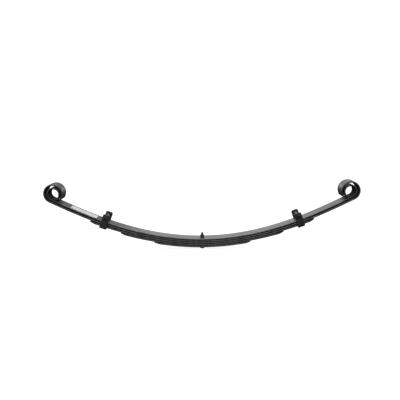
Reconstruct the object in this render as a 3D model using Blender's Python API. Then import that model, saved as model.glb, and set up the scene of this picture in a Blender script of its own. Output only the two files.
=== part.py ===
"""A five-leaf arched spring for a truck axle, with upturned eyes and a wrapped second leaf.

Metres, +Z up, X along the spring (front eye at -X), Y across the leaves. The origin is the middle of the
lowest leaf's underside, where the spring sits on its axle pad. Every leaf is one long strip that follows
the same arch; the center bolt holds the pack, and a riveted clip on each arm keeps the leaves in line.
"""
import math
from collections import namedtuple

import bmesh
import bpy
from mathutils import Matrix, Vector

# ---- driving dimensions ----
TOUCH_GAP = 0.0003  # gap left between two pieces that touch

LEAF_WIDTH = 0.0635
LEAF_THICKNESS = 0.00635
LEAF_COUNT = 5
EDGE_BREAK = 0.0012  # chamfer that stands for the rolled edge of the flat bar

CENTER_CURVATURE = 1.0893  # per metre, at the center bolt
STRAIGHT_AT = 0.627  # arc length from the center at which the arch has faded to a straight line
SEAT_GAP = TOUCH_GAP  # between neighbouring leaves at the center bolt
TIP_GAP = 0.0026  # between neighbouring leaves at the third leaf's tips and beyond
SEAT_FLAT = 0.012  # half length of the flat at the center bolt

EYE_BORE = 0.0381
EYE_AT = 0.5870  # arc length from the center to the tangent point of the main leaf's eye
EYE_END_ANGLE = 222.0  # the eye's strip runs round from -90 degrees to here
WRAP_RADIUS = 0.0298  # inside radius of the second leaf's wrap
WRAP_AT = 0.5888
WRAP_END_ANGLE = 172.0
WRAP_STRAIGHT = 0.011  # straight end of the wrap

SHORT_LEAF_HALF_LENGTHS = (0.424, 0.303, 0.177)  # third, fourth and fifth leaf, along the arch
TIP_CUT = 0.018  # length of the diamond cut at a short leaf's tip
TIP_CUT_WIDTH = 0.80  # share of the width that is left at the tip
TIP_THIN = 0.60  # share of the thickness that is left at the tip
PAD_LENGTH = 0.034
PAD_WIDTH = 0.036
PAD_INSET = 0.012  # from the leaf's tip to the pad

CENTER_BOLT_DIAMETER = 0.0095
CENTER_HEAD_DIAMETER = 0.0160
CENTER_HEAD_HEIGHT = 0.0090
CENTER_NUT_FLATS = 0.0150
CENTER_NUT_HEIGHT = 0.0095
CENTER_STUD = 0.0187  # how far the bolt stands above the main leaf
CENTER_BOLT_CHAMFER = 0.0010

CLIP_AT = 0.3720
CLIP_WIDTH = 0.0270
CLIP_THICKNESS = 0.0058
CLIP_SIDE_GAP = 0.0007
CLIP_BEND_RADIUS = 0.0030  # inside radius of the strap's two bends
CLIP_EAR_HEIGHT = 0.0275  # from the main leaf's top face to the top of the ears
CLIP_CORNER = 0.0045  # rounding of the ears' corners
CLIP_EDGE_BREAK = 0.0006
CLIP_BOLT_HEIGHT = 0.0140
CLIP_BOLT_DIAMETER = 0.0080
CLIP_HEX_FLATS = 0.0130
CLIP_HEAD_HEIGHT = 0.0053
CLIP_NUT_HEIGHT = 0.0066
CLIP_BOLT_STICKOUT = 0.0035
CLIP_BOLT_CHAMFER = 0.0008
SPACER_DIAMETER = 0.0140
RIVET_DIAMETER = 0.0080
RIVET_HEAD_DIAMETER = 0.0140
RIVET_HEAD_HEIGHT = 0.0040
RIVET_SINK = 0.0020  # depth of the rivet's countersunk end in the third leaf

LABEL_FROM = 0.406  # along the front arm
LABEL_TO = 0.510
LABEL_WIDTH = 0.044
LABEL_OFFSET = -0.0050  # the label sits a little nearer to the -Y edge
LABEL_THICKNESS = 0.0003

ARM_PIVOT_X = 0.185  # each arm's flexing is gathered into one hinge line,
ARM_PIVOT_Z = 0.036  # halfway through the leaves there

# ---- worked out from them ----
PACK_HEIGHT = LEAF_COUNT * LEAF_THICKNESS + (LEAF_COUNT - 1) * SEAT_GAP
HALF_WIDTH = LEAF_WIDTH / 2
EYE_RADIUS = EYE_BORE / 2
MAIN, WRAPPER, THIRD = 0, 1, 2

CUT_OVERSHOOT = 0.010  # how far a cutter reaches past the piece it cuts

# ---- fineness of the meshes ----
ARCH_STEP = 0.024
CURL_STEP = 10.0  # degrees
ROUND_SIDES = 24
INTEGRATION_STEPS = 240
CORNER_STEPS = 4  # in a quarter turn
PAD_STEPS = 3
LABEL_STEPS = 5
MERGE_DISTANCE = 0.000001
SMOOTH_ANGLE = 30.0  # degrees

# A strip of rectangular section passes through its stations. `point` is the middle of the section's upper
# side, `across` and `up` are unit vectors, and the strip lies below `point`, against `up`.
Station = namedtuple("Station", "point across up half_width thickness")


# ---------------------------------------------------------------- scene and materials
def clear_scene():
    for thing in list(bpy.data.objects):
        bpy.data.objects.remove(thing, do_unlink=True)


def make_material(name, colour, roughness, metallic):
    material = bpy.data.materials.new(name)
    material.use_nodes = True
    shader = material.node_tree.nodes["Principled BSDF"]
    shader.inputs["Base Color"].default_value = (*colour, 1.0)
    shader.inputs["Roughness"].default_value = roughness
    shader.inputs["Metallic"].default_value = metallic
    return material


def make_object(name, mesh_data, material=None, parent=None):
    thing = bpy.data.objects.new(name, mesh_data)
    bpy.context.scene.collection.objects.link(thing)
    thing.parent = parent
    if material:
        mesh_data.materials.append(material)
    return thing


def make_empty(name, parent=None, location=(0, 0, 0), turn_about_y=0.0):
    empty = bpy.data.objects.new(name, None)
    bpy.context.scene.collection.objects.link(empty)
    empty.parent = parent
    empty.location = location
    empty.rotation_euler = (0, turn_about_y, 0)
    return empty


def mesh_from(work, name):
    """Turns a closed bmesh into a mesh whose faces point out, smooth except at its sharp edges."""
    bmesh.ops.recalc_face_normals(work, faces=work.faces)
    mesh = bpy.data.meshes.new(name)
    work.to_mesh(mesh)
    work.free()
    mesh.shade_smooth()
    mesh.set_sharp_from_angle(angle=math.radians(SMOOTH_ANGLE))
    return mesh


# ---------------------------------------------------------------- strips
def strip_ring(work, station, edge):
    """The eight corners of the strip's section at one station."""
    wide = station.half_width
    deep = station.thickness
    corners = (
        (wide - edge, 0),
        (wide, -edge),
        (wide, edge - deep),
        (wide - edge, -deep),
        (edge - wide, -deep),
        (-wide, edge - deep),
        (-wide, -edge),
        (edge - wide, 0),
    )
    return [
        work.verts.new(station.point + a * station.across + u * station.up)
        for a, u in corners
    ]


def sweep_strip(name, stations, edge):
    """A closed strip through the stations, with flat ends."""
    work = bmesh.new()
    rings = [strip_ring(work, station, edge) for station in stations]
    count = len(rings[0])
    for first, second in zip(rings, rings[1:]):
        for i in range(count):
            j = (i + 1) % count
            work.faces.new((first[i], first[j], second[j], second[i]))
    work.faces.new(rings[0])
    work.faces.new(rings[-1])
    return mesh_from(work, name)


# ---------------------------------------------------------------- the arch
def arch_angle(s):
    """Slope angle of the main leaf's top face at arc length s from the center."""
    return CENTER_CURVATURE * s * (1 - s * s / (3 * STRAIGHT_AT**2))


def arch_run(s):
    """How far the main leaf's top face has gone along X and risen at arc length s."""
    step = s / INTEGRATION_STEPS
    angles = [arch_angle((i + 0.5) * step) for i in range(INTEGRATION_STEPS)]
    return sum(math.cos(a) for a in angles) * step, sum(math.sin(a) for a in angles) * step


def arch_frame(s, depth=0.0):
    """Point and up direction at arc length s, `depth` below the main leaf's top face."""
    x, rise = arch_run(s)
    seat_rise = arch_run(SEAT_FLAT)[1]
    angle = arch_angle(s)
    up = Vector((-math.sin(angle), 0, math.cos(angle)))
    return Vector((x, 0, PACK_HEIGHT + rise - seat_rise)) - depth * up, up


def leaf_gap(s):
    """The leaves touch at the center bolt and part towards the tips."""
    share = min(1.0, abs(s) / SHORT_LEAF_HALF_LENGTHS[0])
    return SEAT_GAP + (TIP_GAP - SEAT_GAP) * share**3


def leaf_depth(leaf, s):
    return leaf * (LEAF_THICKNESS + leaf_gap(s))


def arch_station(leaf, s, width_share=1.0, thickness_share=1.0):
    point, up = arch_frame(s, leaf_depth(leaf, s))
    return Station(
        point,
        Vector((0, 1, 0)),
        up,
        HALF_WIDTH * width_share,
        LEAF_THICKNESS * thickness_share,
    )


def arch_lengths(end):
    """Arc lengths from the edge of the seat's flat out to `end`, in even steps."""
    steps = max(2, round((end - SEAT_FLAT) / ARCH_STEP))
    return [SEAT_FLAT + (end - SEAT_FLAT) * i / steps for i in range(steps + 1)]


def mirrored(station):
    flip = Matrix.Diagonal((-1, 1, 1))
    return station._replace(point=flip @ station.point, up=flip @ station.up)


def both_arms(rear_half):
    """Adds the front half to a list of stations that starts beside the center bolt."""
    return [mirrored(station) for station in reversed(rear_half)] + rear_half


def curl_stations(leaf, tangent_at, radius, end_angle):
    """Stations of a strip rolled upwards round a circle that its top face touches at tangent_at."""
    start = arch_station(leaf, tangent_at)
    center = start.point + radius * start.up
    steps = round((end_angle + 90) / CURL_STEP)
    for i in range(1, steps + 1):
        turn = Matrix.Rotation(-math.radians((end_angle + 90) * i / steps), 3, "Y")
        up = turn @ start.up
        yield start._replace(point=center - radius * up, up=up)


# ---------------------------------------------------------------- leaves
def main_leaf_stations():
    rear = [arch_station(MAIN, s) for s in arch_lengths(EYE_AT)]
    rear += curl_stations(MAIN, EYE_AT, EYE_RADIUS, EYE_END_ANGLE)
    return both_arms(rear)


def wrapper_leaf_stations():
    rear = [arch_station(WRAPPER, s) for s in arch_lengths(WRAP_AT)]
    rear += curl_stations(WRAPPER, WRAP_AT, WRAP_RADIUS, WRAP_END_ANGLE)
    last = rear[-1]
    onward = last.up.cross(last.across) * -1
    rear.append(last._replace(point=last.point + WRAP_STRAIGHT * onward))
    return both_arms(rear)


def short_leaf_stations(leaf, half_length):
    """A leaf that stops short of the eyes: diamond cut in plan, and thinned from below."""
    cut_from = half_length - TIP_CUT
    rear = [arch_station(leaf, s) for s in arch_lengths(cut_from)]
    middle = half_length - TIP_CUT / 2
    rear.append(arch_station(leaf, middle, (1 + TIP_CUT_WIDTH) / 2, (1 + TIP_THIN) / 2))
    rear.append(arch_station(leaf, half_length, TIP_CUT_WIDTH, TIP_THIN))
    return both_arms(rear)


def make_leaf(name, stations, steel):
    return make_object(name, sweep_strip(name, stations, EDGE_BREAK), steel)


def make_leaves(steel):
    leaves = {
        "main_leaf": make_leaf("main_leaf", main_leaf_stations(), steel),
        "wrapper_leaf": make_leaf("wrapper_leaf", wrapper_leaf_stations(), steel),
    }
    names = ("third_leaf", "fourth_leaf", "fifth_leaf")
    for leaf, (name, half) in enumerate(zip(names, SHORT_LEAF_HALF_LENGTHS), start=THIRD):
        leaves[name] = make_leaf(name, short_leaf_stations(leaf, half), steel)
    return leaves


def make_tip_pad(name, leaf, side, half_length, plastic):
    """A low-friction pad between a short leaf's tip and the leaf above it."""
    outer = half_length - PAD_INSET
    places = [outer - PAD_LENGTH * i / PAD_STEPS for i in range(PAD_STEPS + 1)]
    stations = []
    for s in places:
        point, up = arch_frame(s, leaf_depth(leaf, s) - leaf_gap(s) + TOUCH_GAP)
        thickness = leaf_gap(s) - 2 * TOUCH_GAP
        stations.append(Station(point, Vector((0, 1, 0)), up, PAD_WIDTH / 2, thickness))
    if side < 0:
        stations = [mirrored(station) for station in stations]
    edge = stations[0].thickness / 4
    return make_object(name, sweep_strip(name, stations, edge), plastic)


def make_tip_pads(plastic):
    for leaf, name, half in (
        (THIRD, "third", SHORT_LEAF_HALF_LENGTHS[0]),
        (THIRD + 1, "fourth", SHORT_LEAF_HALF_LENGTHS[1]),
    ):
        make_tip_pad(f"{name}_leaf_front_pad", leaf, -1, half, plastic)
        make_tip_pad(f"{name}_leaf_rear_pad", leaf, 1, half, plastic)


def make_label(paper):
    """A blank adhesive label on the front arm's top face."""
    stations = []
    for i in range(LABEL_STEPS + 1):
        s = LABEL_FROM + (LABEL_TO - LABEL_FROM) * i / LABEL_STEPS
        point, up = arch_frame(s, -(LABEL_THICKNESS + TOUCH_GAP / 2))
        point.y = LABEL_OFFSET
        station = Station(point, Vector((0, 1, 0)), up, LABEL_WIDTH / 2, LABEL_THICKNESS)
        stations.append(mirrored(station))
    return make_object("label", sweep_strip("label", stations, LABEL_THICKNESS / 4), paper)


# ---------------------------------------------------------------- round and hexagonal pieces
def turned(name, profile, sides=ROUND_SIDES):
    """A solid turned about Z from (radius, height) points, listed from the bottom to the top."""
    work = bmesh.new()
    axis_ends = [(0.0, profile[0][1]), *profile, (0.0, profile[-1][1])]
    line = [work.verts.new((radius, 0, height)) for radius, height in axis_ends]
    edges = [work.edges.new(pair) for pair in zip(line, line[1:])]
    bmesh.ops.spin(
        work,
        geom=line + edges,
        cent=(0, 0, 0),
        axis=(0, 0, 1),
        angle=2 * math.pi,
        steps=sides,
        use_merge=True,
    )
    bmesh.ops.remove_doubles(work, verts=work.verts, dist=MERGE_DISTANCE)
    return mesh_from(work, name)


def cylinder(name, radius, low, high, sides=ROUND_SIDES):
    return turned(name, [(radius, low), (radius, high)], sides)


def hexagon(name, across_flats, low, high):
    return cylinder(name, across_flats / math.sqrt(3), low, high, sides=6)


def hide_as_tool(thing):
    thing.hide_render = True
    thing.display_type = "WIRE"


def combine(thing, mesh, operation, parent=None, location=(0, 0, 0), rotation=(0, 0, 0)):
    """Adds or subtracts a mesh with a Boolean modifier."""
    tool = make_object(f"{thing.name}_{mesh.name}_tool", mesh, parent=parent)
    tool.location = location
    tool.rotation_euler = rotation
    hide_as_tool(tool)
    modifier = thing.modifiers.new(mesh.name, "BOOLEAN")
    modifier.operation = operation
    modifier.solver = "EXACT"
    modifier.object = tool


def cut(thing, mesh, **place):
    combine(thing, mesh, "DIFFERENCE", **place)


# ---------------------------------------------------------------- center bolt
def drill_leaves(leaves):
    radius = CENTER_BOLT_DIAMETER / 2 + TOUCH_GAP
    for leaf in leaves.values():
        cut(leaf, cylinder("center_hole", radius, -PACK_HEIGHT, 2 * PACK_HEIGHT))


def make_center_bolt(zinc):
    shank = CENTER_BOLT_DIAMETER / 2
    head = CENTER_HEAD_DIAMETER / 2
    chamfer = CENTER_BOLT_CHAMFER
    top = PACK_HEIGHT + CENTER_STUD
    profile = [
        (head - chamfer, -TOUCH_GAP - CENTER_HEAD_HEIGHT),
        (head, -TOUCH_GAP - CENTER_HEAD_HEIGHT + chamfer),
        (head, -TOUCH_GAP),
        (shank, -TOUCH_GAP),
        (shank, top - chamfer),
        (shank - chamfer, top),
    ]
    return make_object("center_bolt", turned("center_bolt", profile), zinc)


def make_center_nut(zinc):
    low = PACK_HEIGHT + TOUCH_GAP
    high = low + CENTER_NUT_HEIGHT
    nut = make_object("center_nut", hexagon("center_nut", CENTER_NUT_FLATS, low, high), zinc)
    radius = CENTER_BOLT_DIAMETER / 2 + TOUCH_GAP
    cut(nut, cylinder("center_nut_hole", radius, low - CUT_OVERSHOOT, high + CUT_OVERSHOOT))
    return nut


# ---------------------------------------------------------------- clips
# A clip is modelled in its own frame: X along the leaf, Y across, Z up, origin on the main leaf's top face.
def clip_floor():
    """Height of the strap's inner face under the third leaf, which drops away towards its tip."""
    lowest = leaf_depth(THIRD, CLIP_AT + CLIP_WIDTH / 2) + LEAF_THICKNESS
    return -lowest - TOUCH_GAP


def strap_side():
    """Distance from the middle of the leaf to the inner face of an ear."""
    return HALF_WIDTH + CLIP_SIDE_GAP


def strap_stations():
    """The strap's inner face, from the +Y ear's top, down, under the leaves and up the -Y ear."""
    half = []
    along = Vector((1, 0, 0))

    def add(y, z, inward, half_width=CLIP_WIDTH / 2):
        half.append(Station(Vector((0, y, z)), along, inward, half_width, CLIP_THICKNESS))

    side = strap_side()
    floor = clip_floor()
    inward = Vector((0, -1, 0))
    for i in range(CORNER_STEPS + 1):
        turn = math.radians(90) * i / CORNER_STEPS
        z = CLIP_EAR_HEIGHT - CLIP_CORNER * (1 - math.cos(turn))
        add(side, z, inward, CLIP_WIDTH / 2 - CLIP_CORNER * (1 - math.sin(turn)))
    for i in range(CORNER_STEPS + 1):
        turn = math.radians(90) * i / CORNER_STEPS
        up = Vector((0, -math.cos(turn), math.sin(turn)))
        center_y = side - CLIP_BEND_RADIUS
        center_z = floor + CLIP_BEND_RADIUS
        add(center_y - CLIP_BEND_RADIUS * up.y, center_z - CLIP_BEND_RADIUS * up.z, up)
    flip = Matrix.Diagonal((1, -1, 1))
    other = [s._replace(point=flip @ s.point, up=flip @ s.up) for s in reversed(half)]
    return half + other


def rivet_profile():
    """Round head under the strap, shank, and a countersunk end in the third leaf's top."""
    shank = RIVET_DIAMETER / 2
    under = clip_floor() - CLIP_THICKNESS - TOUCH_GAP
    top = -leaf_depth(THIRD, CLIP_AT) - TOUCH_GAP
    head = RIVET_HEAD_DIAMETER / 2
    dome = []
    for i in range(1, CORNER_STEPS + 1):
        turn = math.radians(90) * i / CORNER_STEPS
        dome.append((head * math.sin(turn), under - RIVET_HEAD_HEIGHT * math.cos(turn)))
    body = [
        (shank, under),
        (shank, top - RIVET_SINK),
        (shank + RIVET_SINK, top),
    ]
    return dome + body


def rivet_hole_profile():
    shank = RIVET_DIAMETER / 2 + TOUCH_GAP
    top = -leaf_depth(THIRD, CLIP_AT)
    below = clip_floor() - CLIP_THICKNESS - CUT_OVERSHOOT
    above = RIVET_SINK
    slope_start = top - TOUCH_GAP - RIVET_SINK
    return [
        (shank, below),
        (shank, slope_start),
        (shank + (top + above - slope_start), top + above),
    ]


def along_y(location=(0, 0, 0)):
    """Placing for a piece that is turned about Z and has to lie along Y."""
    return {"location": location, "rotation": (math.radians(90), 0, 0)}


def make_clip_strap(name, frame, steel):
    strap = make_object(name, sweep_strip(name, strap_stations(), CLIP_EDGE_BREAK), steel, frame)
    reach = strap_side() + CLIP_THICKNESS + CUT_OVERSHOOT
    bolt_hole = cylinder(f"{name}_bolt_hole", CLIP_BOLT_DIAMETER / 2 + TOUCH_GAP, -reach, reach)
    cut(strap, bolt_hole, parent=frame, **along_y((0, 0, CLIP_BOLT_HEIGHT)))
    rivet_radius = RIVET_DIAMETER / 2 + TOUCH_GAP
    low = clip_floor() - CLIP_THICKNESS - CUT_OVERSHOOT
    high = clip_floor() + CLIP_BEND_RADIUS
    cut(strap, cylinder(f"{name}_rivet_hole", rivet_radius, low, high), parent=frame)
    return strap


def place_on_bolt_line(piece):
    piece.location = (0, 0, CLIP_BOLT_HEIGHT)
    piece.rotation_euler = (math.radians(90), 0, 0)
    return piece


def make_clip_bolt(name, frame, zinc):
    """Turned about Z, then laid along Y: its +Z end, with the head, points to -Y."""
    outside = strap_side() + CLIP_THICKNESS + TOUCH_GAP
    tail = outside + CLIP_NUT_HEIGHT + CLIP_BOLT_STICKOUT
    radius = CLIP_BOLT_DIAMETER / 2
    chamfer = CLIP_BOLT_CHAMFER
    shank = turned(name, [
        (radius - chamfer, -tail),
        (radius, chamfer - tail),
        (radius, outside + CLIP_HEAD_HEIGHT / 2),
    ])
    bolt = place_on_bolt_line(make_object(name, shank, zinc, frame))
    head = hexagon(f"{name}_head", CLIP_HEX_FLATS, outside, outside + CLIP_HEAD_HEIGHT)
    combine(bolt, head, "UNION", parent=frame, **along_y((0, 0, CLIP_BOLT_HEIGHT)))
    return bolt


def make_clip_nut(name, frame, zinc):
    outside = strap_side() + CLIP_THICKNESS + TOUCH_GAP
    mesh = hexagon(name, CLIP_HEX_FLATS, -outside - CLIP_NUT_HEIGHT, -outside)
    nut = place_on_bolt_line(make_object(name, mesh, zinc, frame))
    low = -outside - CLIP_NUT_HEIGHT - CUT_OVERSHOOT
    high = -outside + CUT_OVERSHOOT
    hole = cylinder(f"{name}_hole", CLIP_BOLT_DIAMETER / 2 + TOUCH_GAP, low, high)
    cut(nut, hole, parent=frame, **along_y((0, 0, CLIP_BOLT_HEIGHT)))
    return nut


def make_clip_spacer(name, frame, steel):
    """The tube on the clip bolt, between the ears. Its origin is on the bolt's axis."""
    reach = strap_side() - TOUCH_GAP
    tube = cylinder(name, SPACER_DIAMETER / 2, -reach, reach)
    spacer = place_on_bolt_line(make_object(name, tube, steel, frame))
    hole = cylinder(f"{name}_hole", CLIP_BOLT_DIAMETER / 2 + TOUCH_GAP, -2 * reach, 2 * reach)
    cut(spacer, hole, parent=frame, **along_y((0, 0, CLIP_BOLT_HEIGHT)))
    return spacer


def make_clip(side_name, side, third_leaf, steel, zinc):
    """One clip with its fasteners, hung from an empty on its arm's hinge line."""
    pivot_point = Vector((side * ARM_PIVOT_X, 0, ARM_PIVOT_Z))
    pivot = make_empty(f"{side_name}_arm_pivot", location=pivot_point)
    point = arch_frame(CLIP_AT)[0]
    point.x *= side
    frame = make_empty(
        f"{side_name}_clip_frame",
        parent=pivot,
        location=point - pivot_point,
        turn_about_y=-side * arch_angle(CLIP_AT),
    )
    make_clip_strap(f"{side_name}_clip_strap", frame, steel)
    make_clip_bolt(f"{side_name}_clip_bolt", frame, zinc)
    make_clip_nut(f"{side_name}_clip_nut", frame, zinc)
    make_clip_spacer(f"{side_name}_clip_spacer", frame, steel)
    rivet_name = f"{side_name}_clip_rivet"
    make_object(rivet_name, turned(rivet_name, rivet_profile()), steel, frame)
    cut(third_leaf, turned(f"{side_name}_rivet_hole", rivet_hole_profile()), parent=frame)


# ---------------------------------------------------------------- assembly
def main():
    clear_scene()
    steel = make_material("black_painted_steel", (0.022, 0.022, 0.024), 0.42, 0.0)
    clip_steel = make_material("black_painted_clip", (0.018, 0.018, 0.019), 0.5, 0.0)
    zinc = make_material("black_fastener", (0.015, 0.015, 0.016), 0.38, 0.3)
    plastic = make_material("pad_plastic", (0.03, 0.03, 0.032), 0.6, 0.0)
    paper = make_material("blank_label", (0.78, 0.78, 0.76), 0.55, 0.0)

    leaves = make_leaves(steel)
    drill_leaves(leaves)
    make_tip_pads(plastic)
    make_label(paper)
    make_center_bolt(zinc)
    make_center_nut(zinc)
    make_clip("front", -1, leaves["third_leaf"], clip_steel, zinc)
    make_clip("rear", 1, leaves["third_leaf"], clip_steel, zinc)


main()
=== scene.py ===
"""Looks for a five-leaf arched truck spring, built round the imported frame.

Metres, in the frame's own axes: X along the spring with the front eye at -X, Y across the leaves, +Z up,
and the origin at the middle of the lowest leaf's underside. Each leaf is drawn as a front and a rear half,
so that each half can bend with its own arm.
"""
import math
from collections import namedtuple

import bmesh
import bpy
from mathutils import Matrix, Vector
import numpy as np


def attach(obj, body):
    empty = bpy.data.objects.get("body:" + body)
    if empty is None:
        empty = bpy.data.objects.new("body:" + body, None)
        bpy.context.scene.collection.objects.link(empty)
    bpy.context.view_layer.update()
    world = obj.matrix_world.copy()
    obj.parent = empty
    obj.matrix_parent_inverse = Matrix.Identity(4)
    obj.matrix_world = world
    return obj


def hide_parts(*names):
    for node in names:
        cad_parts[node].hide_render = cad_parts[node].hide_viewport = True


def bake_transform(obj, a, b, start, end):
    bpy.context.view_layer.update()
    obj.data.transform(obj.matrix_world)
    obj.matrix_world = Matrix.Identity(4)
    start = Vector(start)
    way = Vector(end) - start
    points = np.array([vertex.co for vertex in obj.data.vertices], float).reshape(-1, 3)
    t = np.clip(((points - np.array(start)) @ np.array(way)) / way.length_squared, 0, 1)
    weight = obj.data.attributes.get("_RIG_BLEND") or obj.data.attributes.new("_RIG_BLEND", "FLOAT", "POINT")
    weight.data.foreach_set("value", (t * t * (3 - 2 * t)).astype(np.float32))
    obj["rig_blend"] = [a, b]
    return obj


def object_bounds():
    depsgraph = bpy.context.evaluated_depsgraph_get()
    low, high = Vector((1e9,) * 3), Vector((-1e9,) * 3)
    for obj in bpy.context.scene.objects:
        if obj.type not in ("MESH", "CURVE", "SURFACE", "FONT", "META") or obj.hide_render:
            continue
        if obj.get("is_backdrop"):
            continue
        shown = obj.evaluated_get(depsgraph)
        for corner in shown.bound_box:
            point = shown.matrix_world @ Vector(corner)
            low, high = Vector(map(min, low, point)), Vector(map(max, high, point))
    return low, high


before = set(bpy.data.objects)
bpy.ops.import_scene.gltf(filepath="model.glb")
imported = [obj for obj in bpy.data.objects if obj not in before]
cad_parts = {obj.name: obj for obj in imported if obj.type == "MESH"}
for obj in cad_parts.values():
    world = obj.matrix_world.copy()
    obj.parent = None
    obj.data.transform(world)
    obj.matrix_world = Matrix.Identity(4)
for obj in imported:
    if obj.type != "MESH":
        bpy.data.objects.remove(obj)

CAD_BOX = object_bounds()

# ---- the spring's own dimensions, as in the CAD ----
# Those that end in _AT, _FROM and _TO are arc lengths from the center bolt.
TOUCH_GAP = 0.0003
LEAF_WIDTH = 0.0635
LEAF_THICKNESS = 0.00635
LEAF_COUNT = 5
CENTER_CURVATURE = 1.0893  # radians per metre at the center bolt
STRAIGHT_AT = 0.627  # where the curvature would have fallen to nothing
SEAT_GAP = TOUCH_GAP
TIP_GAP = 0.0026
SEAT_FLAT = 0.012
EYE_BORE = 0.0381
EYE_AT = 0.5870
EYE_END_ANGLE = 222.0
WRAP_RADIUS = 0.0298
WRAP_AT = 0.5888
WRAP_END_ANGLE = 172.0
WRAP_STRAIGHT = 0.011
SHORT_LEAF_HALF_LENGTHS = (0.424, 0.303, 0.177)
TIP_CUT = 0.018
TIP_CUT_WIDTH = 0.80
TIP_THIN = 0.60
PAD_LENGTH = 0.034
PAD_WIDTH = 0.036
PAD_INSET = 0.012
CENTER_BOLT_DIAMETER = 0.0095
CENTER_HEAD_DIAMETER = 0.0160
CENTER_HEAD_HEIGHT = 0.0090
CENTER_NUT_FLATS = 0.0150
CENTER_NUT_HEIGHT = 0.0095
CENTER_STUD = 0.0187
CLIP_AT = 0.3720
CLIP_WIDTH = 0.0270
CLIP_THICKNESS = 0.0058
CLIP_SIDE_GAP = 0.0007
CLIP_BEND_RADIUS = 0.0030
CLIP_EAR_HEIGHT = 0.0275
CLIP_CORNER = 0.0045
CLIP_BOLT_HEIGHT = 0.0140
CLIP_BOLT_DIAMETER = 0.0080
CLIP_HEX_FLATS = 0.0130
CLIP_HEAD_HEIGHT = 0.0053
CLIP_NUT_HEIGHT = 0.0066
CLIP_BOLT_STICKOUT = 0.0035
SPACER_DIAMETER = 0.0140
RIVET_DIAMETER = 0.0080
RIVET_HEAD_DIAMETER = 0.0140
RIVET_HEAD_HEIGHT = 0.0040
RIVET_SINK = 0.0020
LABEL_FROM = 0.406
LABEL_TO = 0.510
LABEL_WIDTH = 0.044
LABEL_OFFSET = -0.0050
LABEL_THICKNESS = 0.0003

# ---- details that only the looks have ----
Edge = namedtuple("Edge", "depth roundness")
ROLLED_EDGE = Edge(0.0028, 2.0)  # round edge of hot-rolled spring bar
SHEARED_EDGE = Edge(0.0007, 2.4)
THIN_EDGE = Edge(0.0002, 2.2)
MOST_EDGE_SHARE = 0.45  # of a strip's thickness that the depth of its edge may take
END_RADIUS = 0.0009  # rounding of a strip's cut ends
LABEL_CORNER = 0.0022
CENTER_THREAD_PITCH = 0.00159
CLIP_THREAD_PITCH = 0.00125
THREAD_DEPTH_SHARE = 0.61  # of the pitch
COUNTERSINK = 0.0006  # of a nut's bore
HEAD_EDGE_RADIUS = 0.0012  # under the center bolt's head
HEAD_SHOULDER = (0.0004, 0.0006)  # how far the head's top edge is cut back, inwards and downwards
SPACER_EDGE = 0.0006
HEX_TOP_SHARE = 0.94  # width of a hexagonal piece's round top, as a share of its flats
EYE_SHADE_FROM = 0.540  # painted shade of the eye starts here: the top face loses its sheen towards it
WEAR_FROM_ANGLE = 15.0  # degrees of bend at which a turned piece's edge starts to wear
WEAR_FULL_ANGLE = 55.0

# ---- loops beside an edge, which keep the faces next to it flat ----
LOOP_INSET = 0.010
NEAR_LOOP_INSET = 0.004
THREAD_LOOP = 0.001
SPACER_LOOP = 0.0018
HEX_TOP_LOOP = 0.0007
HEX_SIDE_LOOP = 0.00182

# ---- worked out from them ----
PACK_HEIGHT = LEAF_COUNT * LEAF_THICKNESS + (LEAF_COUNT - 1) * SEAT_GAP
HALF_WIDTH = LEAF_WIDTH / 2
EYE_RADIUS = EYE_BORE / 2
MAIN, WRAPPER, THIRD = 0, 1, 2
SIDES = {"front": -1, "rear": 1}

# ---- how each half bends: still at the seat, and with its arm before the clip ----
BEND_FROM = 0.040  # distance from the middle along X, as is BEND_TO
BEND_TO = 0.330

# ---- fineness of the meshes ----
SMOOTH_ANGLE = 35.0  # degrees up to which an edge is shaded smooth
ARCH_STEP = 0.010
CURL_STEP = 5.0  # degrees
ROUND_SIDES = 36
INTEGRATION_STEPS = 240
EDGE_STEPS = 10
END_STEPS = 3
TIP_STEPS = 6
PAD_STEPS = 6
LABEL_STEPS = 26
THREAD_STEPS = 8  # rings in one turn of a thread
HEAD_EDGE_STEPS = 3
EAR_CORNER_STEPS = 8
STRAP_SIDE_STEPS = 4
STRAP_BEND_STEPS = 9
RIVET_DOME_STEPS = 9
DRILL_PAST = 0.001  # how far a drill runs past the face that it leaves by
RIVET_DRILL_REACH = 0.020

# ---- paint: tone, share of wear along the shoulders, and roughness ----
Paint = namedtuple("Paint", "tone wear roughness")
LEAF_PAINT = Paint(0.020, 0.5, 0.32)
CLIP_PAINT = Paint(0.018, 0.6, 0.45)

# ---- stage and light ----
FLOOR_SIZE = 30.0
FLOOR_TONE = 0.15
FLOOR_GLOW = 0.93  # with the lamps' light this makes the floor just white
BACKDROP_RADIUS = 14.0
BACKDROP_SIDES = 96
SKY_FRONT = 0.35
SKY_BEHIND = 0.28
SKY_ABOVE = 0.6
SKY_BELOW = 0.1
WHITE = (1.0, 1.0, 1.0, 1.0)
BLACK = (0.0, 0.0, 0.0, 1.0)
Softbox = namedtuple("Softbox", "name place aim size watts")
SPRING_MIDDLE = (0, 0, 0.1)
SOFTBOXES = (
    Softbox("overhead", (-0.5, 0.2, 2.2), SPRING_MIDDLE, (1.6, 1.4), 34),
    Softbox("behind", (0.32, 1.5, 0.42), (0.32, 0, 0.05), (1.20, 0.40), 1.6),
    Softbox("front", (0.0, -2.4, 2.6), SPRING_MIDDLE, (2.4, 1.2), 40),
    Softbox("left", (-2.6, -0.4, 1.1), SPRING_MIDDLE, (1.4, 1.4), 26),
    Softbox("right", (2.6, -0.4, 1.1), SPRING_MIDDLE, (1.4, 1.4), 14),
    Softbox("back", (0.0, 2.8, 2.6), SPRING_MIDDLE, (2.4, 1.0), 16),
)

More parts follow.
